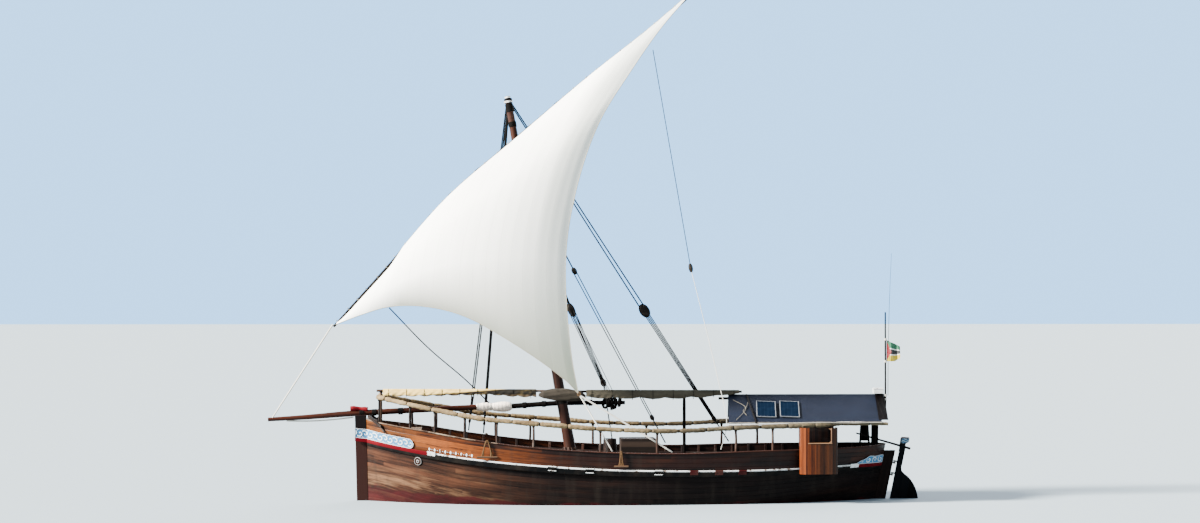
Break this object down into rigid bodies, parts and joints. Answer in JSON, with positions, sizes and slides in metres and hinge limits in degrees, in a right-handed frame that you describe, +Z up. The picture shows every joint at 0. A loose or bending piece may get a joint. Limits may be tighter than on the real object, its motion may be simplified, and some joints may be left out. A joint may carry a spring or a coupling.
{
  "type": "lateen-rigged sailing dhow",
  "caption": "Wooden double-ended sailing dhow afloat: planked hull, raked mast with a lateen sail on a long yard, pitched canvas shelter aft, side rails, bowsprit and outboard rudder.",
  "frame": {"origin": "centreline at the waterline plane, amidships", "axes": "+X towards the bow, +Y to port, +Z up"},
  "size_m": [23.7129, 5.9192, 19.9],
  "materials": {
    "hull_timber": "weathered",
    "deck_timber": "worn, dry",
    "topside_timber": "oiled",
    "painted_timber": "worn paint",
    "dark_timber": "tarred",
    "spar_timber": "oiled",
    "iron": "rusted",
    "sailcloth": "matt",
    "rope": "matt",
    "light_canvas": "matt",
    "grey_canvas": "matt",
    "roof_canvas": "matt",
    "solar_face": "gloss",
    "flag_cloth": "matt"
  },
  "bodies": {
    "boat": {"hull": "hull_timber", "deck": "deck_timber", "foredeck": "deck_timber", "hatch": "deck_timber", "deck_locker": "deck_timber", "bulwark_port": "topside_timber", "bulwark_starboard": "topside_timber", "cap_rail_port": "topside_timber", "cap_rail_starboard": "topside_timber", "quarter_box": "topside_timber", "wale_port": "painted_timber", "wale_starboard": "painted_timber", "bow_board_port": "painted_timber", "bow_board_starboard": "painted_timber", "stern_board_port": "painted_timber", "stern_board_starboard": "painted_timber", "bow_eye_port": "painted_timber", "bow_eye_starboard": "painted_timber", "ridge_box": "painted_timber", "stem_post": "dark_timber", "stern_post": "dark_timber", "keel": "dark_timber", "mast_step": "dark_timber", "spare_spar": "dark_timber", "awning_aft_pole": "dark_timber", "shelter_frame": "dark_timber", "roof_end_boards": "dark_timber", "flagstaff": "dark_timber", "mast": "spar_timber", "bowsprit": "spar_timber", "awning_fore_pole": "spar_timber", "water_barrel": "spar_timber", "gudgeon_1": "iron", "gudgeon_2": "iron", "gudgeon_3": "iron", "shroud_fore_1": "rope", "shroud_fore_2": "rope", "backstay_1": "rope", "backstay_2": "rope", "halyard_tackle": "rope", "spar_padding": "light_canvas", "awning_fore": "light_canvas", "side_rail_port": "light_canvas", "side_rail_starboard": "light_canvas", "awning_aft": "grey_canvas", "mast_cover": "grey_canvas", "shelter_roof": "roof_canvas", "solar_panel_1": "solar_face", "solar_panel_2": "solar_face", "flag": "flag_cloth"},
    "rudder": {"rudder_blade": "dark_timber", "rudder_head": "dark_timber", "tiller": "dark_timber", "pintle_1": "iron", "pintle_2": "iron", "pintle_3": "iron"},
    "yard_and_sail": {"yard": "spar_timber", "sail": "sailcloth", "parrel": "rope"}
  },
  "joints": [
    {"name": "rudder_swing", "type": "hinge", "parent": "boat", "child": "rudder", "pos_m": [-9.62, 0, 0], "axis": [-0.2055, 0, 0.9787], "range_deg": [-35, 35]},
    {"name": "yard_slew", "type": "hinge", "parent": "boat", "child": "yard_and_sail", "pos_m": [1.98, 0, 2], "axis": [0.1759, 0, 0.9844], "range_deg": [-30, 5]}
  ]
}
